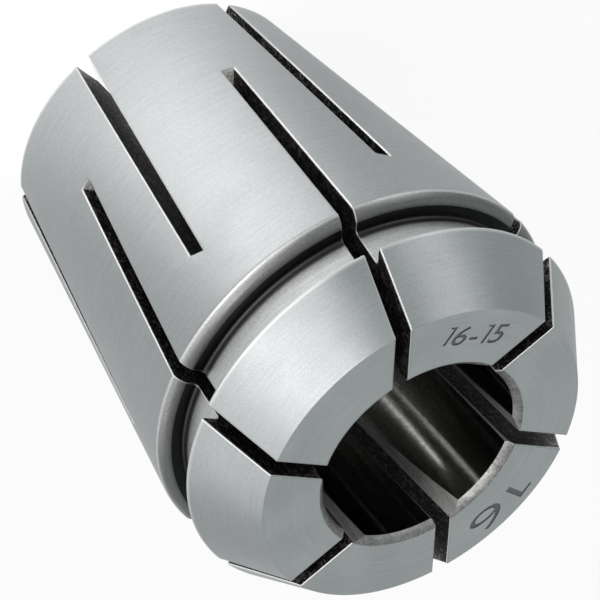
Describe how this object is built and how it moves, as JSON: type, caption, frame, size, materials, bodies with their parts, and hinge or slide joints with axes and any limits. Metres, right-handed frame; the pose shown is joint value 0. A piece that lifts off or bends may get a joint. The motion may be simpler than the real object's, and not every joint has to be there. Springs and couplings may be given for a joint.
{
  "type": "er collet",
  "caption": "Spring collet with a long ground taper, extractor groove, steep nose cone and straight bore, split by slots cut in turn from both ends.",
  "frame": {"origin": "centre of the narrow back end, on the bore's axis, so that the collet stands on z = 0", "axes": "+Z along the bore, from the back end towards the face; +X in the direction along which one front slot is cut"},
  "size_m": [0.033, 0.033, 0.04],
  "materials": {
    "collet": "hardened spring steel, ground to a fine satin; darker bore and slots"
  },
  "bodies": {
    "root": {"collet": "collet"}
  },
  "joints": []
}
